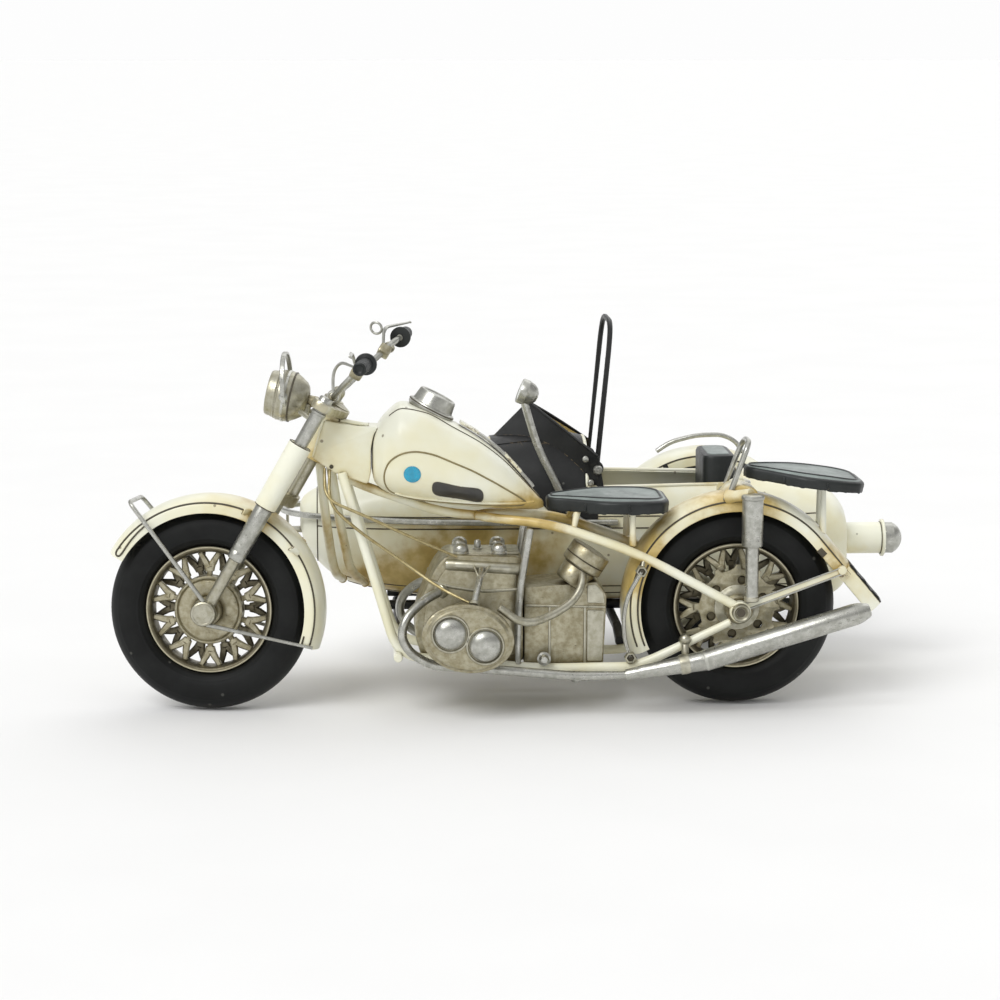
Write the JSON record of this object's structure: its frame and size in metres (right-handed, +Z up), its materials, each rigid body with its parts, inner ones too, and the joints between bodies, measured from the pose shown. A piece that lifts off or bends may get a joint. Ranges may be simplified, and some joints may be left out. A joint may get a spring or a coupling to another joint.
{
  "type": "tin motorcycle with sidecar",
  "caption": "Handmade tin model of a vintage touring motorcycle with a sidecar, with turning wheels, steering fork and folding hoop.",
  "frame": {"origin": "middle of the bottom of the whole object's box, on the ground under the wheels", "axes": "+Z up, -X to the front of the motorcycle, +Y to the side that the sidecar is on"},
  "size_m": [0.3163, 0.1926, 0.1461],
  "materials": {
    "cream_paint": "aged satin cream enamel, ochre and brown in the corners, dark edges",
    "pewter": "dull tinned metal with dark scratches",
    "chrome_trim": "worn bright plating",
    "black_paint": "semi-gloss black enamel, rubbed on its edges",
    "tyre_rubber": "dull black rubber",
    "blue_enamel": "glossy blue disc and dark bar"
  },
  "bodies": {
    "chassis": {"neck_gusset": "cream_paint", "backbone": "cream_paint", "upper_frame": "cream_paint", "lower_frame": "cream_paint", "sidecar_struts": "cream_paint", "fuel_tank": "cream_paint", "tank_cap": "chrome_trim", "tank_badges": "blue_enamel", "rider_saddle": "black_paint", "pillion_saddle": "black_paint", "saddle_posts": "cream_paint", "grab_handle": "chrome_trim", "rear_mudguard": "cream_paint", "mud_flap": "black_paint", "mudguard_stays": "cream_paint", "shock_covers": "pewter", "shock_rods": "pewter", "rear_axle": "pewter", "crankcase": "pewter", "cylinders": "pewter", "head_covers": "pewter", "cylinder_nuts": "pewter", "gearbox": "pewter", "air_cleaner": "pewter", "exhaust_pipes": "pewter", "muffler": "pewter", "brake_strap": "pewter", "engine_cables": "pewter", "hull_nose": "cream_paint", "hull_left": "cream_paint", "hull_right": "cream_paint", "hull_bumper": "chrome_trim", "wind_cowl": "black_paint", "sidecar_seat": "black_paint", "sidecar_mudguard": "cream_paint", "mudguard_rail": "chrome_trim", "sidecar_chassis": "black_paint", "tail_tube": "cream_paint", "tail_lens": "chrome_trim", "lamp_mast": "chrome_trim", "search_lamp": "chrome_trim"},
    "steering": {"fork_stem": "pewter", "fork_tubes": "pewter", "fork_shrouds": "cream_paint", "front_axle": "pewter", "front_mudguard": "cream_paint", "front_stays": "pewter", "handlebar": "pewter", "handlebar_grips": "black_paint", "hand_controls": "pewter", "headlamp_shell": "pewter", "headlamp_lens": "chrome_trim", "headlamp_hoop": "pewter"},
    "front_wheel": {"front_tyre": "tyre_rubber", "front_wheel": "pewter"},
    "rear_wheel": {"rear_tyre": "tyre_rubber", "rear_wheel": "pewter"},
    "sidecar_wheel": {"sidecar_tyre": "tyre_rubber", "sidecar_wheel": "pewter"},
    "hoop": {"roll_hoop": "black_paint"}
  },
  "joints": [
    {"name": "steering_turn", "type": "hinge", "parent": "chassis", "child": "steering", "pos_m": [-0.11517, -0.0386, 0.036], "axis": [0.5, 0, 0.866], "range_deg": [-22, 38]},
    {"name": "front_wheel_spin", "type": "hinge", "parent": "steering", "child": "front_wheel", "pos_m": [-0.11946, -0.0379, 0.03848], "axis": [0.1205, 0.9903, -0.0696], "continuous": true},
    {"name": "rear_wheel_spin", "type": "hinge", "parent": "chassis", "child": "rear_wheel", "pos_m": [0.0805, -0.0386, 0.0385], "axis": [0, 1, 0], "continuous": true},
    {"name": "sidecar_wheel_spin", "type": "hinge", "parent": "chassis", "child": "sidecar_wheel", "pos_m": [0.0825, 0.0834, 0.0385], "axis": [0, 1, 0], "continuous": true},
    {"name": "hoop_fold", "type": "hinge", "parent": "chassis", "child": "hoop", "pos_m": [0.0315, 0.0304, 0.084], "axis": [0, 1, 0], "range_deg": [0, 75]}
  ]
}
